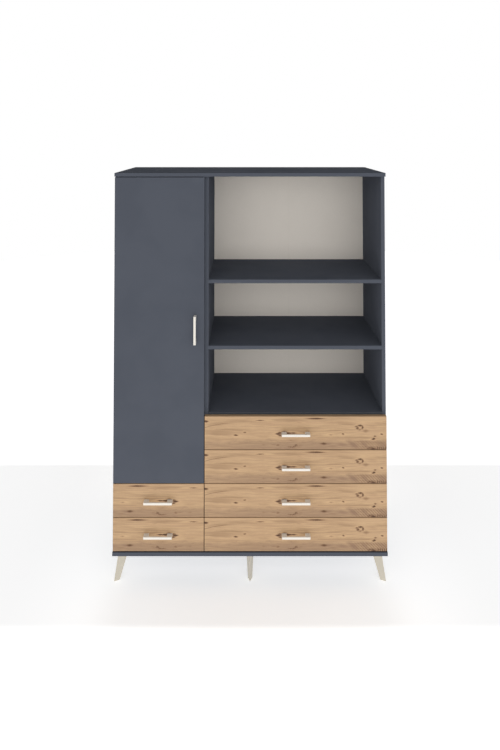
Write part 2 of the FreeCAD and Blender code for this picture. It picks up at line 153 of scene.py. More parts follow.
def makeDarkBoard(name, face, band=None):
    # face: the two tones that its clouds mix, the carcass pair being the door's melamine painted lighter as
    # painted light in the bays; band: the tone of the strip on its front edge
    material, tree, shader, place = newMaterial(name, 0.0, darkBoard["specular"])

    def step(kind, value):
        return fade(tree, value, *darkBoard[kind])

    cloud, dust, grit = [noise(tree, place, *darkBoard[kind]) for kind in ("cloud", "dust", "grit")]
    colour = mixTones(tree, step("cloudFade", cloud), *darkBoard[face])
    colour = mixTones(tree, step("dustFade", dust), colour, darkBoard["edge"])
    # the front strip takes the band tone, which on the cover board is a painted shadow
    if band:
        depth = addNode(tree, "SeparateXYZ", {0: place}).outputs[1]
        colour = mixTones(tree, step("bandFade", depth), colour, darkBoard[band])
    # the edges turn lighter towards the edge tone: wear, and a painted highlight along every edge
    edgeMix = calc(tree, "MULTIPLY", edgeMask(tree, darkBoard["edgeWidth"]), step("edgeFade", dust))
    colour = mixTones(tree, edgeMix, colour, darkBoard["edge"])
    roughness = calc(tree, "ADD", darkBoard["roughness"], step("roughnessFade", cloud))
    finishMaterial(tree, shader, colour, roughness, grit, darkBoard["relief"])
    return material


# oak print of the drawer fronts: places on it are in millimetres, across counted down from the top edge

oakPrint = {
    "pale": tone(195, 162, 124), "warm": tone(178, 146, 111), "brown": tone(161, 130, 98),
    "band": tone(155, 126, 99), "bandDark": tone(139, 110, 88), "mark": tone(118, 86, 61),
    "core": tone(80, 54, 38), "halo": tone(204, 168, 128), "rosy": tone(189, 155, 120),
    "specular": 0.3, "edgeShare": 0.35, "haloShare": 0.25,
    # in metres: the relief, the paler edge (wear and a painted highlight) and where the print lies on the
    # fronts
    "relief": 0.00006, "edgeWidth": 0.0013,
    "firstFront": 0.137, "pitch": 0.1455, "frontHeight": 0.1425, "halfGap": 0.0015,
    "wideStart": -0.1985, "mirrorStart": -0.003, "face": -0.213,
    "perMetre": 1000,  # the millimetres of a metre
    # stretch along, across and behind, then detail and roughness of the noise
    "noises": {
        "ripple": (0.05, 0.16, 0.16, 3, 0.5), "fray": (0.22, 0.5, 0.5, 3, 0.6),
        "wander": (0.006, 0.02, 0.02, 2, 0.5), "broad": (0.003, 0.05, 1, 2, 0.5),
        "streaks": (0.009, 0.2, 1, 3, 0.6), "fine": (0.03, 1.1, 1, 3, 0.65),
        "pores": (0.12, 3.4, 1, 2, 0.5), "blotch": (0.02, 0.07, 1, 3, 0.6),
    },
    # how far a noise moves a place or a shade, from its least to its most
    "swings": {"ripple": 9, "fray": 11, "wander": 16, "shade": 0.5, "bandBlotch": 24, "bandFray": 20},
    # smooth steps: low and high, then start and end where they aren't 0 and 1 or come from a row below
    "fades": {
        "knot": (1.35, 0.15), "halo": (3.0, 1.2), "pull": (0.0, 3.4, 0.85, 0.0),
        "rim": (0.4, 0.05), "rimBreaks": (0.38, 0.58, 0.25, 1.0), "rimSide": (-0.1, 0.5),
        "ground": (0.3, 0.7, -0.25, 0.28), "patch": (1.1, 0.2), "leaningPatch": (1.2, 0.1),
        "streaks": (0.32, 0.68, -0.05, 1.0), "streaksAlong": (0.0, 220.0, 0.55, 0.85),
        "warm": (0.0, 0.65), "brown": (0.5, 1.15), "rosy": (0.35, 0.62, 0.5, 0.0),
        "topEdge": (9.0, 3.0, 0.0, 0.5), "band": (93.0, 120.0), "bandRises": (0.0, 300.0, 0.7, 1.0),
        "bandFalls": (560.0, 720.0, 1.0, 0.7), "bandStreaks": (0.35, 0.6, 0.7, 1.0),
        "bandShadow": (0.5, 0.72, 0.0, 0.5), "stripe": (0.0, 1.0), "hatchAlong": (620.0, 700.0, 0.0, 0.6),
        "hatchAcross": (98.0, 112.0), "dot": (-0.4, 0.7, 0.0, 0.9), "dotsAcross": (128.0, 134.0),
        "dotsAlong": (744.0, 756.0), "crack": (1.4, 0.2, 0.0, 0.7), "crackAlong": (125.0, 70.0),
        "fine": (0.5, 0.75, 0.0, 0.45), "pores": (0.6, 0.75, 0.0, 0.28), "mark": (0.0, 0.75),
        "core": (0.5, 0.9, 0.0, 0.85), "poreGloss": (0.45, 0.75, 0.5, 0.62), "poreDepth": (0.75, 0.55),
    },
    "pointed": 0.5, "ringAt": 0.8, "acrossFray": 0.4, "knotRoughness": 0.05,
    "leanFrom": 120.0, "stripeTurn": 0.5, "dotTurn": 0.7, "dotWander": 0.2,
    "crackLength": 75, "crackDrop": 24.5, "crackTop": 23.5, "crackWander": 0.1,
    # along, across, half length, half height, darkness, and 1 where it bends the grain round it
    "knots": [
        (5, 21, 14, 6, 0.95, 1), (137, 81, 12, 4.4, 0.85, 1), (176, 69, 8.5, 4.6, 0.75, 1),
        (242, 16.5, 28, 3, 0.8, 1), (488, 8.8, 54, 4.6, 0.9, 1), (322, 75, 17, 6, 0.95, 1),
        (328, 69, 10, 4.5, 0.8, 0), (330, 82, 11, 5, 0.8, 0), (342, 74, 13, 9, 0.85, 1),
        (349, 65, 19, 3, 0.7, 0), (366, 72, 24, 4.8, 1, 1), (388, 71.5, 20, 3.8, 0.8, 0),
        (605, 75, 7, 5, 0.7, 1), (775, 76.5, 7.4, 4.7, 0.75, 1), (736, 97.4, 9.5, 5.2, 0.95, 1),
        (740, 96, 9, 5.4, 1, 0), (745, 85, 8.5, 4.6, 0.7, 0), (521, 117.2, 19, 6.8, 0.75, 1),
        (320, 123.5, 11, 6.5, 0.5, 1), (303, 122, 14, 3.5, 0.3, 0), (378, 102.7, 9, 2.4, 0.35, 0),
        (412, 25, 18, 2.2, 0.35, 1), (552, 79, 12, 4.2, 0.35, 1), (259, 122.5, 14, 5, 0.28, 0),
        (404, 127, 6, 5, 0.45, 0), (664, 43, 10, 4.6, 0.7, 0), (669, 50, 9, 8, 0.75, 0),
        (681, 39, 13, 5.5, 0.95, 1), (691, 47.5, 6, 11, 0.75, 0), (678, 58, 12, 3.4, 0.45, 0),
        (704, 62, 19, 11, 0.4, 0), (737, 139.8, 17, 6.2, 1, 0), (560, 128, 30, 4, 0.25, 0),
    ],
    # along, across, half length, half height, darkness, and the side on which a part ring shows
    "rings": [
        (679, 47.6, 14.5, 10.6, 0.5, 0, 0), (728, 143, 19, 10.5, 1, 0, -1),
        (380, 122, 25, 13, 0.75, 0.5, 0.85), (385, 126, 42, 15, 0.25, 0.8, 0.5),
        (60, 62, 46, 26, 0.14, 0, -1), (66, 66, 30, 17, 0.12, 0, -1),
    ],
    # along, across, half length, half height, amount: soft patches darker or paler than the ground
    "patches": [
        (395, 55, 210, 8, 0.05), (640, 94, 150, 9, 0.25), (712, 20, 110, 18, -0.4),
        (110, 62, 170, 14, 0.35), (250, 92, 190, 6, -0.15), (330, 42, 260, 5, -0.15),
        (110, 24, 230, 26, 0.25), (100, 98, 190, 10, 0.25), (490, 13, 260, 13, 0.6),
        (140, 76, 140, 10, 0.6), (500, 98, 170, 7, 0.6), (550, 76, 180, 9, -0.4),
        (30, 68, 90, 14, 0.4), (330, 33, 150, 6, 0.35), (760, 55, 60, 10, 0.3),
    ],
    # along, across, half length, half height, amount: patches of the band that lean down to the right
    "leaning": [
        (648, 121, 21, 20, 0.9), (698, 121, 14, 19, 0.7), (778, 122, 26, 20, 0.55),
        (600, 121, 28, 12, 0.65),
    ],
}


def ovalPlace(tree, sheet, oval):
    # the sheet scaled so that the oval's outline is at 1 from its centre
    centre, depth, halfLong, halfHigh = oval
    scale = (1 / halfLong, 1 / halfHigh, 0)
    return stretch(tree, sheet, scale, (-centre / halfLong, -depth / halfHigh, 0))


def ovalReach(tree, sheet, oval, pointed=0.0):
    # 0 at the oval's centre and 1 on its outline; pointed draws the ends out into tips
    inside = ovalPlace(tree, sheet, oval)
    reach = vectorCalc(tree, "LENGTH", inside)["Value"]
    if not pointed:
        return reach
    folded = vectorCalc(tree, "ABSOLUTE", inside)["Vector"]
    diamond = vectorCalc(tree, "DOT_PRODUCT", folded, (1, 1, 0))["Value"]
    return mixValues(tree, pointed, reach, diamond)


def oakSheet(tree, place, mirrored):
    # millimetres along and across the print, which repeats on every front, and behind its face
    parts = addNode(tree, "SeparateXYZ", {0: place}).outputs
    if mirrored:
        along = calc(tree, "SUBTRACT", oakPrint["mirrorStart"], parts[0])
    else:
        along = calc(tree, "SUBTRACT", parts[0], oakPrint["wideStart"])
    lift = calc(tree, "SUBTRACT", parts[2], oakPrint["firstFront"] - oakPrint["halfGap"])
    lift = calc(tree, "FLOORED_MODULO", lift, oakPrint["pitch"])
    across = calc(tree, "SUBTRACT", oakPrint["frontHeight"] + oakPrint["halfGap"], lift)
    behind = calc(tree, "SUBTRACT", parts[1], oakPrint["face"])
    return [calc(tree, "MULTIPLY", part, oakPrint["perMetre"]) for part in (along, across, behind)]


def makeOak(name, mirrored):
    material, tree, shader, place = newMaterial(name, 0.0, oakPrint["specular"])

    def pattern(kind, vector):
        *scale, detail, roughness = oakPrint["noises"][kind]
        return noise(tree, stretch(tree, vector, scale), 1, detail, roughness)

    def swing(kind, value):
        # a noise value of 0 to 1 as plus or minus half the amount
        amount = oakPrint["swings"][kind]
        return calc(tree, "MULTIPLY_ADD", value, amount, -amount / 2)

    def step(kind, value, *ends):
        return fade(tree, value, *oakPrint["fades"][kind], *ends)

    along, across, behind = oakSheet(tree, place, mirrored)
    sheet = addNode(tree, "CombineXYZ", {0: along, 1: across, 2: behind}).outputs[0]
    fray = pattern("fray", sheet)
    ragged = calc(tree, "ADD", swing("ripple", pattern("ripple", sheet)), swing("fray", fray))
    shifted = calc(tree, "ADD", along, ragged)
    frayed = calc(tree, "ADD", across, calc(tree, "MULTIPLY", ragged, oakPrint["acrossFray"]))
    loose = addNode(tree, "CombineXYZ", {0: shifted, 1: frayed}).outputs[0]

    # each knot darkens its own oval and pushes the grain lines apart round itself
    lines = calc(tree, "ADD", across, behind)
    dark, halo = 0.0, 0.0
    for *oval, darkness, bends in oakPrint["knots"]:
        reach = ovalReach(tree, loose, oval, oakPrint["pointed"])
        dark = calc(tree, "MAXIMUM", dark, step("knot", reach, 0.0, darkness))
        if bends:
            halo = calc(tree, "MAXIMUM", halo, step("halo", reach))
            away = calc(tree, "SUBTRACT", float(oval[1]), across)
            lines = calc(tree, "MULTIPLY_ADD", step("pull", reach), away, lines)
    for *oval, darkness, sideAlong, sideAcross in oakPrint["rings"]:
        rim = calc(tree, "SUBTRACT", ovalReach(tree, loose, oval), oakPrint["ringAt"])
        rim = step("rim", calc(tree, "ABSOLUTE", rim), 0.0, darkness)
        rim = calc(tree, "MULTIPLY", rim, step("rimBreaks", fray))
        if sideAlong or sideAcross:
            inside = ovalPlace(tree, loose, oval)
            facing = vectorCalc(tree, "DOT_PRODUCT", inside, (sideAlong, sideAcross, 0))["Value"]
            rim = calc(tree, "MULTIPLY", rim, step("rimSide", facing))
        dark = calc(tree, "MAXIMUM", dark, rim)
    lines = calc(tree, "ADD", lines, swing("wander", pattern("wander", sheet)))
    grain = addNode(tree, "CombineXYZ", {0: along, 1: lines}).outputs[0]
    kinds = ("broad", "streaks", "fine", "pores", "blotch")
    broad, streaks, fine, pores, blotch = [pattern(kind, grain) for kind in kinds]

    # the ground: clouds and streaks from pale to brown, paler round the knots and rosy at the top edge
    shade = step("ground", broad)
    for *oval, amount in oakPrint["patches"]:
        shade = calc(tree, "ADD", shade, step("patch", ovalReach(tree, loose, oval), 0.0, amount))
    streaky = calc(tree, "MULTIPLY", step("streaks", streaks), step("streaksAlong", along))
    shade = calc(tree, "ADD", calc(tree, "ADD", shade, streaky), swing("shade", blotch))
    shade = addNode(tree, "Clamp", {0: shade}).outputs[0]
    colour = mixTones(tree, step("warm", shade), oakPrint["pale"], oakPrint["warm"])
    colour = mixTones(tree, step("brown", shade), colour, oakPrint["brown"])
    colour = mixTones(tree, step("rosy", broad), colour, oakPrint["rosy"])
    colour = mixTones(tree, calc(tree, "MULTIPLY", halo, oakPrint["haloShare"]), colour, oakPrint["halo"])
    colour = mixTones(tree, step("topEdge", across), colour, oakPrint["rosy"])

    # the greyer band along the bottom, stronger to the right, with patches that lean at its end
    band = calc(tree, "ADD", across, swing("bandBlotch", blotch))
    band = step("band", calc(tree, "ADD", band, swing("bandFray", fray)))
    for factor in (step("bandRises", along), step("bandFalls", along), step("bandStreaks", streaks)):
        band = calc(tree, "MULTIPLY", band, factor)
    colour = mixTones(tree, band, colour, oakPrint["band"])
    lean = calc(tree, "SUBTRACT", shifted, calc(tree, "SUBTRACT", across, oakPrint["leanFrom"]))
    leaning = addNode(tree, "CombineXYZ", {0: lean, 1: frayed}).outputs[0]
    shadow = calc(tree, "MULTIPLY", band, step("bandShadow", blotch))
    for *oval, amount in oakPrint["leaning"]:
        patch = step("leaningPatch", ovalReach(tree, leaning, oval), 0.0, amount)
        shadow = calc(tree, "MAXIMUM", shadow, patch)
    colour = mixTones(tree, shadow, colour, oakPrint["bandDark"])

    # hatching at the band's right end, and a row of dots along the bottom edge
    stripes = calc(tree, "SINE", calc(tree, "MULTIPLY", lean, oakPrint["stripeTurn"]))
    hatch = calc(tree, "MULTIPLY", step("stripe", stripes), step("hatchAlong", along))
    hatch = calc(tree, "MULTIPLY", hatch, step("hatchAcross", across))
    colour = mixTones(tree, hatch, colour, oakPrint["mark"])
    dots = calc(tree, "MULTIPLY", ragged, oakPrint["dotWander"])
    dots = calc(tree, "SINE", calc(tree, "MULTIPLY_ADD", along, oakPrint["dotTurn"], dots))
    dots = calc(tree, "MULTIPLY", step("dot", dots), step("dotsAcross", frayed))
    dots = calc(tree, "MULTIPLY", dots, step("dotsAlong", along))

    # one thin rising crack at the left: across = its top + its drop times e to the -along / its length
    path = calc(tree, "EXPONENT", calc(tree, "MULTIPLY", along, -1 / oakPrint["crackLength"]))
    path = calc(tree, "MULTIPLY", path, oakPrint["crackDrop"])
    away = calc(tree, "SUBTRACT", across, calc(tree, "ADD", path, oakPrint["crackTop"]))
    away = calc(tree, "ABSOLUTE", calc(tree, "MULTIPLY_ADD", ragged, oakPrint["crackWander"], away))
    crack = calc(tree, "MULTIPLY", step("crack", away), step("crackAlong", along))

    colour = mixTones(tree, step("fine", fine), colour, oakPrint["brown"])
    colour = mixTones(tree, step("pores", pores), colour, oakPrint["mark"])
    dark = calc(tree, "MAXIMUM", calc(tree, "MAXIMUM", dark, dots), crack)
    colour = mixTones(tree, step("mark", dark), colour, oakPrint["mark"])
    colour = mixTones(tree, step("core", dark), colour, oakPrint["core"])
    # the edges turn paler: wear, and a painted highlight along them
    edge = calc(tree, "MULTIPLY", edgeMask(tree, oakPrint["edgeWidth"]), oakPrint["edgeShare"])
    colour = mixTones(tree, edge, colour, oakPrint["pale"])
    roughness = calc(tree, "MULTIPLY_ADD", dark, oakPrint["knotRoughness"], step("poreGloss", pores))
    finishMaterial(tree, shader, colour, roughness, step("poreDepth", pores), oakPrint["relief"])
    return material


# plain finishes: two colours, roughness, metallic, the stretch and scale of the grain, its relief in
# metres, the colour of the edges and how far it shows: wear, and where lighter also a painted highlight

plainFinishes = {
    "backSheet": {
        "colour": tone(246, 238, 227), "second": tone(239, 231, 220), "roughness": 0.6, "metallic": 0.0,
        "grain": (1, 1, 1), "scale": 420, "relief": 0.00003, "edge": tone(150, 122, 92), "edgeShow": 0.5,
    },
    "joiningStrip": {
        "colour": tone(244, 236, 225), "second": tone(239, 231, 220), "roughness": 0.5, "metallic": 0.0,
        "grain": (1, 1, 0.05), "scale": 600, "relief": 0.00002, "edge": tone(226, 221, 212), "edgeShow": 0.5,
    },
    "drawerBoard": {
        "colour": tone(214, 211, 204), "second": tone(203, 200, 193), "roughness": 0.6, "metallic": 0.0,
        "grain": (1, 1, 1), "scale": 700, "relief": 0.00004, "edge": tone(226, 223, 217), "edgeShow": 0.6,
    },
    "satinNickel": {
        "colour": tone(234, 229, 220), "second": tone(228, 223, 213), "roughness": 0.42, "metallic": 0.0,
        "grain": (0.03, 1, 1), "scale": 2600, "relief": 0.000008, "edge": tone(242, 238, 230), "edgeShow": 0.6,
    },
    "legMetal": {
        "colour": tone(207, 200, 185), "second": tone(199, 192, 177), "roughness": 0.42, "metallic": 0.25,
        "grain": (1, 1, 0.05), "scale": 1500, "relief": 0.00001, "edge": tone(238, 233, 222), "edgeShow": 0.6,
    },
    "zincSteel": {
        "colour": tone(198, 200, 203), "second": tone(182, 185, 190), "roughness": 0.33, "metallic": 1.0,
        "grain": (1, 0.04, 1), "scale": 1700, "relief": 0.00001, "edge": tone(216, 218, 221), "edgeShow": 0.7,
    },
    "hingeNickel": {
        "colour": tone(206, 203, 197), "second": tone(192, 188, 181), "roughness": 0.27, "metallic": 1.0,
        "grain": (1, 1, 0.2), "scale": 900, "relief": 0.000006, "edge": tone(226, 224, 219), "edgeShow": 0.7,
    },
    "chromeTube": {
        "colour": tone(214, 216, 218), "second": tone(205, 207, 210), "roughness": 0.16, "metallic": 1.0,
        "grain": (0.03, 1, 1), "scale": 900, "relief": 0.000004, "edge": tone(228, 229, 230), "edgeShow": 0.5,
    },
    "greyPlastic": {
        "colour": tone(96, 99, 104), "second": tone(88, 91, 96), "roughness": 0.45, "metallic": 0.0,
        "grain": (1, 1, 1), "scale": 1600, "relief": 0.00003, "edge": tone(120, 123, 128), "edgeShow": 0.5,
    },
    "screwSteel": {
        "colour": tone(176, 172, 160), "second": tone(150, 146, 134), "roughness": 0.38, "metallic": 1.0,
        "grain": (1, 1, 1), "scale": 800, "relief": 0.00001, "edge": tone(205, 201, 190), "edgeShow": 0.7,
    },
    "screwZinc": {
        "colour": tone(186, 188, 190), "second": tone(165, 167, 170), "roughness": 0.34, "metallic": 1.0,
        "grain": (1, 1, 1), "scale": 1800, "relief": 0.000006, "edge": tone(212, 213, 215), "edgeShow": 0.7,
    },
    "capPlastic": {
        "colour": tone(66, 70, 78), "second": tone(62, 66, 74), "roughness": 0.7, "metallic": 0.0,
        "grain": (1, 1, 1), "scale": 2200, "relief": 0.00001, "edge": tone(84, 88, 96), "edgeShow": 0.4,
    },
    "castZinc": {
        "colour": tone(168, 170, 173), "second": tone(146, 149, 153), "roughness": 0.5, "metallic": 0.9,
        "grain": (1, 1, 1), "scale": 500, "relief": 0.00003, "edge": tone(192, 194, 196), "edgeShow": 0.6,
    },
    "beechDowel": {
        "colour": tone(214, 178, 134), "second": tone(190, 152, 108), "roughness": 0.65, "metallic": 0.0,
        "grain": (0.06, 1, 1), "scale": 1300, "relief": 0.00005, "edge": tone(224, 192, 150), "edgeShow": 0.5,
    },
}


# what the plain finishes share: noises and fades as for the dark boards

plainSurface = {
    "specular": 0.4, "edgeWidth": 0.0009, "grain": (3, 0.6), "grainFade": (0.35, 0.7, 0.0, 0.8),
    "cloud": (11, 3), "cloudFade": (0.4, 0.75, 0.0, 0.3), "smudge": (60, 4, 0.65),
    "edgeShowFade": (0.35, 0.6, 0.3), "roughnessFade": (0.35, 0.7, -0.03, 0.05),
}


def makePlain(name):
    finish = plainFinishes[name]
    material, tree, shader, place = newMaterial(name, finish["metallic"], plainSurface["specular"])

    def step(kind, value, *ends):
        return fade(tree, value, *plainSurface[kind], *ends)

    grain = noise(tree, stretch(tree, place, finish["grain"]), finish["scale"], *plainSurface["grain"])
    cloud = noise(tree, place, *plainSurface["cloud"])
    smudge = noise(tree, place, *plainSurface["smudge"])
    colour = mixTones(tree, step("grainFade", grain), finish["colour"], finish["second"])
    colour = mixTones(tree, step("cloudFade", cloud), colour, finish["second"])
    # the edges mix towards the edge colour: wear, and where that colour is lighter a painted highlight
    edge = edgeMask(tree, plainSurface["edgeWidth"])
    edgeMix = calc(tree, "MULTIPLY", edge, step("edgeShowFade", smudge, finish["edgeShow"]))
    colour = mixTones(tree, edgeMix, colour, finish["edge"])
    roughness = calc(tree, "ADD", finish["roughness"], step("roughnessFade", smudge))
    finishMaterial(tree, shader, colour, roughness, grain, finish["relief"])
    return material


plain = {name: makePlain(name) for name in plainFinishes}
wideOak = makeOak("oakPrintWide", False)
smallOak = makeOak("oakPrintSmall", True)
# the carcass boards take the lighter carcass tones, painted light on the door's melamine
board = makeDarkBoard("darkMelamine", "carcass", "band")
dress(board, "top_panel", "bottom_panel", "left_side_panel", "right_side_panel", "left_divider",
      "right_divider", "hanging_space_floor", "upper_shelf", "middle_shelf")
dress(makeDarkBoard("darkMelamineDoor", "door"), "door_panel")
# painted shadow: the drawer cover board's front edge takes the darker cover band
dress(makeDarkBoard("darkMelamineCover", "carcass", "coverShadowBand"), "drawer_cover_board")
dress(plain["backSheet"], "hanging_space_back", "bay_back_left", "bay_back_right")
dress(plain["joiningStrip"], "back_joining_strip")
dress(plain["chromeTube"], "hanging_rail")
dress(plain["greyPlastic"], "rail_brackets")
dress(plain["hingeNickel"], "hinge_arms", "hinge_cups")
dress(plain["zincSteel"], "cabinet_slides")
dress(plain["castZinc"], "cam_fittings")
dress(plain["beechDowel"], "board_dowels")
dress(plain["screwSteel"], "leg_screws")
dress(plain["satinNickel"], "door_handle")
dress(plain["legMetal"], *[name for name in nodes if name.startswith("leg_") and name != "leg_screws"])
drawers = sorted(name.removesuffix("_front") for name in nodes if name.endswith("_front"))
for drawer in drawers:
    dress(wideOak if drawer.startswith("wide") else smallOak, drawer + "_front")
    dress(plain["drawerBoard"], drawer + "_box")
    dress(plain["satinNickel"], drawer + "_handle")
    dress(plain["zincSteel"], drawer + "_carriage", drawer + "_runner")
print("finishes on", len(nodes), "nodes")


# small fittings put in the scene on their bodies: each is a surface worked out from a formula, in metres

sharpTurn = np.radians(35)  # faces that meet at more than this keep a sharp edge
notOut = (0.3, 0.5, 0.8)  # a direction that no fitting stands out in


def quadRows(rows, cols, wrap=False):
    # the faces of a grid of points, row by row; wrap joins the last column to the first
    last = cols if wrap else cols - 1
    row, col = np.meshgrid(np.arange(rows - 1), np.arange(last), indexing="ij")
    step = (col + 1) % cols
    corners = [row * cols + col, (row + 1) * cols + col, (row + 1) * cols + step, row * cols + step]
    return np.stack(corners, -1).reshape(-1, 4)


def turned(radii, heights, count):
    # a profile turned round the z axis: x = r cos a, y = r sin a, z = its height
    angles = np.linspace(0, 2 * np.pi, count, endpoint=False)
    ring, angle = np.meshgrid(radii, angles, indexing="ij")
    level = np.meshgrid(heights, angles, indexing="ij")[0]
    return np.stack([ring * np.cos(angle), ring * np.sin(angle), level], -1).reshape(-1, 3)


def standing(points, place, out, turn=0.0):
    # local z becomes the out direction, after a turn about it, and the origin goes to place
    out = np.array(out, float)
    side = np.cross(out, notOut)
    side /= np.linalg.norm(side)
    up = np.cross(out, side)
    first = side * np.cos(turn) + up * np.sin(turn)
    second = np.cross(out, first)
    return points @ np.stack([first, second, out]) + np.array(place)


def newPiece(name, copies, quads, ends, body, material):
    # one mesh from several placed copies of the same points; ends are the many-sided faces that close it
    faces = []
    for index in range(len(copies)):
        start = index * len(copies[0])
        faces += (quads + start).tolist() + [(end + start).tolist() for end in ends]
    mesh = bpy.data.meshes.new(name)
    mesh.from_pydata(np.concatenate(copies).tolist(), [], faces)
    mesh.polygons.foreach_set("use_smooth", [len(face) == 4 for face in faces])
    mesh.set_sharp_from_angle(angle=sharpTurn)
    mesh.materials.append(material)
    piece = bpy.data.objects.new(name, mesh)
    bpy.context.scene.collection.objects.link(piece)
    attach(piece, body)


screwHead = {
    "steps": 29, "radius": 0.0036, "height": 0.0017, "crown": 0.35, "clear": 0.00003,
    "armWidth": 0.26, "armLength": 0.62, "armDepth": 0.45, "sideSlope": 12, "endSlope": 8,
    "firstTurn": 0.2, "turnStep": 0.7,
}


def screwShape(radius, height):
    # a square grid a, b of -1 to 1 drawn onto a disc: x = a sqrt(1 - b b / 2), y = b sqrt(1 - a a / 2);
    # at p = a quarter turn times the distance from the middle, r = sin p and the height is cos p to a power
    size = screwHead["steps"]
    ticks = np.linspace(-1, 1, size)
    a, b = np.meshgrid(ticks, ticks, indexing="ij")
    x, y = a * np.sqrt(1 - b * b / 2), b * np.sqrt(1 - a * a / 2)
    away = np.clip(np.hypot(x, y), 1e-9, 1)
    swell = np.sin(away * np.pi / 2) / away
    lift = np.clip(np.cos(away * np.pi / 2), 0, 1) ** screwHead["crown"]
    # the cross recess: two arms, sunk with a soft edge
    narrow, long = np.minimum(abs(x), abs(y)), np.maximum(abs(x), abs(y))
    inWidth = np.clip((screwHead["armWidth"] - narrow) * screwHead["sideSlope"], 0, 1)
    inLength = np.clip((screwHead["armLength"] - long) * screwHead["endSlope"], 0, 1)
    lift = lift - screwHead["armDepth"] * (inWidth * inLength)
    points = np.stack([x * swell * radius, y * swell * radius, lift * height + screwHead["clear"]], -1)
    grid = np.arange(size * size).reshape(size, size)
    rim = np.concatenate([grid[0, :-1], grid[:-1, -1], grid[-1, :0:-1], grid[:0:-1, 0]])
    return points.reshape(-1, 3), quadRows(size, size), [rim]


def makeScrews(name, places, out, body, radius=screwHead["radius"], height=screwHead["height"]):
    points, quads, ends = screwShape(radius, height)
    turns = [screwHead["turnStep"] * index + screwHead["firstTurn"] for index in range(len(places))]
    copies = [standing(points, place, out, turn) for place, turn in zip(places, turns)]
    newPiece(name, copies, quads, ends, body, plain["screwZinc"])


handleScrews = {"spread": 0.051, "back": -0.195, "radius": 0.0044, "height": 0.0022}


def makeHandleScrews():
    # the two that hold each handle, on the back of its front; the door's handle stands upright
    size = handleScrews["radius"], handleScrews["height"]
    spread, back = handleScrews["spread"], handleScrews["back"]
    for drawer in drawers:
        low, high = np.array(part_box(drawer + "_handle"))
        middle = (low + high) / 2
        places = [(middle[0] + way * spread, back, middle[2]) for way in (-1, 1)]
        makeScrews(drawer + "_handle_screws", places, (0, 1, 0), drawer, *size)
    low, high = np.array(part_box("door_handle"))
    middle = (low + high) / 2
    places = [(middle[0], back, middle[2] + way * spread) for way in (-1, 1)]
    makeScrews("door_handle_screws", places, (0, 1, 0), "door", *size)


hingeScrews = {
    "heights": (0.528, 1.0945, 1.661), "cupPlace": (-0.5755, -0.1938), "cupSpread": 0.0242,
    "platePlace": (-0.582, -0.1555), "plateSpread": 0.0192, "armPlace": -0.5715,
    "armRows": (-0.149, -0.171), "flatHeight": 0.0011,
}


def makeHingeScrews():
    heights, flat = hingeScrews["heights"], hingeScrews["flatHeight"]
    cupWays = [way * hingeScrews["cupSpread"] for way in (-1, 1)]
    plateWays = [way * hingeScrews["plateSpread"] for way in (-1, 1)]
    cup = [(*hingeScrews["cupPlace"], z + way) for z in heights for way in cupWays]
    plate = [(*hingeScrews["platePlace"], z + way) for z in heights for way in plateWays]
    arm = [(hingeScrews["armPlace"], row, z) for z in heights for row in hingeScrews["armRows"]]
    makeScrews("hinge_cup_screws", cup, (0, 1, 0), "door", height=flat)
    makeScrews("hinge_plate_screws", plate, (1, 0, 0), "carcass")
    makeScrews("hinge_arm_screws", arm, (1, 0, 0), "carcass", height=flat)


camCaps = {
    "radius": 0.0092, "height": 0.0012, "rimShare": 0.7, "rimSteps": 7, "dome": 0.00012,
    "domeRings": (0.3, 0.9, 4), "sides": 48, "clear": 0.00005,
    "walls": {-0.584: 1, -0.216: -1, -0.184: 1, 0.584: -1},  # place of each wall: way that its caps face
    "rows": (-0.1325, 0.15), "heightOnWall": 1.73,
}


def makeCamCaps():
    # a profile turned round: a disc that falls from its middle with the square of the radius, then a
    # rim that is a quarter circle
    radius, height, count = camCaps["radius"], camCaps["height"], camCaps["sides"]
    rim = height * camCaps["rimShare"]
    bend = np.linspace(0, np.pi / 2, camCaps["rimSteps"])
    dome = np.linspace(*camCaps["domeRings"])
    radii = np.concatenate([dome * (radius - rim), radius - rim + rim * np.sin(bend), [radius]])
    domed = height + camCaps["dome"] * (1 - dome ** 2)
    heights = np.concatenate([domed, height - rim + rim * np.cos(bend), [0.0]])
    points = turned(radii, heights, count) + (0, 0, camCaps["clear"])
    last = (len(radii) - 1) * count
    quads = quadRows(len(radii), count, True)
    ends = [np.arange(count), np.arange(last, last + count)[::-1]]
    places = [((wall, row, camCaps["heightOnWall"]), (way, 0, 0))
              for wall, way in camCaps["walls"].items() for row in camCaps["rows"]]
    copies = [standing(points, place, out) for place, out in places]
    newPiece("cam_caps", copies, quads, ends, "carcass", plain["capPlastic"])


makeHandleScrews()
makeHingeScrews()
makeCamCaps()
print("fittings made")


# floor, light and camera

floorSettings = {
    "rings": (0.02, 0.5, 1.0, 2.0, 4.0, 7.0), "sides": 96, "colour": tone(243, 243, 243),
    # the share of white that it shows in the shaded zone and elsewhere, and the factor of a patch of
    # painted shadow before the object
    "zoneShare": 0.63, "restShare": 0.8, "shadowPatchShare": 0.845,
    # the zone's edges, in metres, how softly it ends there, and the painted shade that deepens it towards
    # its sides
    "backLine": 0.645, "backSoft": 0.004, "frontLine": -0.429, "frontSoft": 0.03,
    "asideFade": (0.7, 1.05), "asideShare": 0.95, "nearShadowFade": (0.28, 0.8, 0.89, 1.0),
    "shadowPatchBack": (-0.1, -0.23), "shadowPatchAside": (0.75, 0.45),
    "cloud": (0.8, 2), "cloudFade": (0.3, 0.7, 0.985, 1.0),
    "bounceFade": (1.5, 4.0, 1.35, 0.1),  # distance near and far, and the factor at each
}


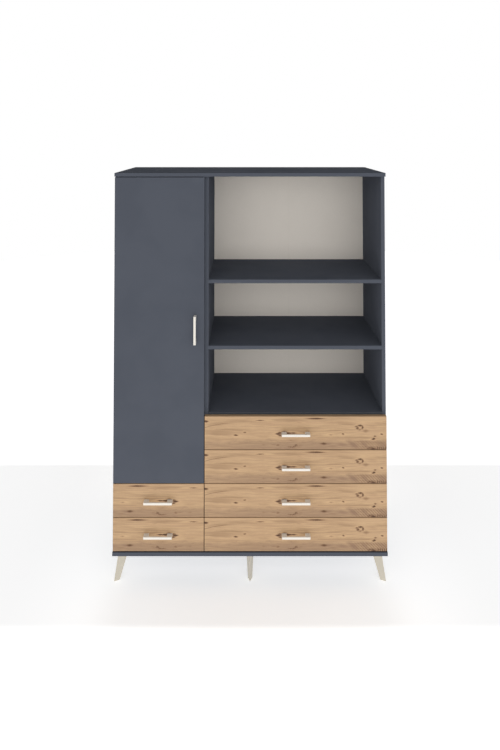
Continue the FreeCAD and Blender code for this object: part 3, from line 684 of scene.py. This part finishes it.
def makePaleFloor():
    material = bpy.data.materials.new("paleFloor")
    material.use_nodes = True
    tree = material.node_tree
    tree.nodes.remove(tree.nodes["Principled BSDF"])

    def step(kind, value, *ends):
        return fade(tree, value, *floorSettings[kind], *ends)

    place = addNode(tree, "TexCoord").outputs["Object"]
    side, back = addNode(tree, "SeparateXYZ", {0: place}).outputs[:2]
    aside = calc(tree, "ABSOLUTE", side)
    near = vectorCalc(tree, "LENGTH", place)["Value"]
    line, soft = floorSettings["backLine"], floorSettings["backSoft"]
    behind = fade(tree, back, line - soft, line + soft)
    line, soft = floorSettings["frontLine"], floorSettings["frontSoft"]
    ahead = fade(tree, back, line + soft, line - soft)
    zone = floorSettings["zoneShare"]
    # painted shade: the zone's glow dims towards its far sides
    zone = step("asideFade", aside, zone, floorSettings["asideShare"] * zone)
    glow = fade(tree, calc(tree, "ADD", behind, ahead), 0.0, 1.0, zone, floorSettings["restShare"])
    # painted shadow: the glow dims near the object and in a patch before it, as the object's soft shadow
    glow = calc(tree, "MULTIPLY", glow, step("nearShadowFade", near))
    patch = calc(tree, "MULTIPLY", step("shadowPatchBack", back), step("shadowPatchAside", aside))
    patch = calc(tree, "MULTIPLY", patch, calc(tree, "SUBTRACT", 1.0, ahead))
    glow = calc(tree, "MULTIPLY", glow, fade(tree, patch, 0.0, 1.0, 1.0, floorSettings["shadowPatchShare"]))
    cloud = noise(tree, place, *floorSettings["cloud"])
    glow = calc(tree, "MULTIPLY", glow, step("cloudFade", cloud))
    # the glow is seen as it is, but the light that it throws on the object is stronger from near the
    # object and fades far off
    thrown = mixValues(tree, backgroundSeen(tree), step("bounceFade", near), 1.0)
    glow = calc(tree, "MULTIPLY", glow, thrown)
    matte = addNode(tree, "BsdfDiffuse", {"Color": floorSettings["colour"]})
    lamp = addNode(tree, "Emission", {"Color": (1, 1, 1, 1), "Strength": glow})
    both = addNode(tree, "AddShader", {0: matte.outputs[0], 1: lamp.outputs[0]})
    tree.links.new(both.outputs[0], tree.nodes["Material Output"].inputs["Surface"])
    return material


def makeFloor():
    # a flat disc of rings round a small middle face
    radii = np.array(floorSettings["rings"])
    count = floorSettings["sides"]
    faces = quadRows(len(radii), count, True).tolist() + [list(range(count))]
    mesh = bpy.data.meshes.new("floor")
    mesh.from_pydata(turned(radii, 0 * radii, count).tolist(), [], faces)
    floor = bpy.data.objects.new("floor", mesh)
    bpy.context.scene.collection.objects.link(floor)
    mesh.materials.append(makePaleFloor())


worldSettings = {
    "frontFade": (0.05, -1.0, 0.33, 1.62),  # direction from behind to the front, and the strength at each
    "heightFade": (0.0, 0.7, 1.0, 0.55),  # direction from the horizon up, and the factor at each
}


def makeWorld():
    # seen as white; the soft light that it throws is strongest from the front and weaker from above
    world = bpy.data.worlds.new("studio")
    bpy.context.scene.world = world
    world.use_nodes = True
    tree = world.node_tree
    sky = tree.nodes["Background"]
    way = addNode(tree, "TexCoord").outputs["Generated"]
    parts = addNode(tree, "SeparateXYZ", {0: way}).outputs
    front = fade(tree, parts[1], *worldSettings["frontFade"])
    soft = calc(tree, "MULTIPLY", front, fade(tree, parts[2], *worldSettings["heightFade"]))
    sky.inputs["Color"].default_value = (1, 1, 1, 1)
    tree.links.new(mixValues(tree, backgroundSeen(tree), soft, 1.0), sky.inputs["Strength"])


lampSettings = {
    "power": 7.5, "size": (3.2, 2.2), "place": (0.8, -4.4, 1.7), "aim": (0.0, 0.0, 0.8),
}


def makeLamp():
    light = bpy.data.lights.new("softFront", "AREA")
    light.shape = "RECTANGLE"
    light.size, light.size_y = lampSettings["size"]
    light.energy = lampSettings["power"]
    lamp = bpy.data.objects.new("softFront", light)
    bpy.context.scene.collection.objects.link(lamp)
    lamp.location = lampSettings["place"]
    aim = np.array(lampSettings["aim"]) - np.array(lampSettings["place"])
    lamp.rotation_euler = (np.arctan2(np.hypot(aim[0], aim[1]), -aim[2]), 0, np.arctan2(-aim[0], aim[1]))
    lamp.visible_camera = False
    lamp.visible_glossy = False


cameraSettings = {
    "place": (0.0, -2.6512, 1.9477), "tiltUp": 0.024, "lens": 39.6, "sensor": 36.0, "rise": -0.5062,
}


def makeCamera():
    data = bpy.data.cameras.new("camera")
    data.sensor_fit = "HORIZONTAL"
    data.sensor_width = cameraSettings["sensor"]
    data.lens = cameraSettings["lens"]
    data.shift_y = cameraSettings["rise"]
    camera = bpy.data.objects.new("camera", data)
    bpy.context.scene.collection.objects.link(camera)
    camera.location = cameraSettings["place"]
    camera.rotation_euler = (np.pi / 2 + cameraSettings["tiltUp"], 0, 0)
    bpy.context.scene.camera = camera


makeFloor()
makeWorld()
makeLamp()
makeCamera()
bpy.context.scene.view_settings.view_transform = "Standard"
print("stage set")
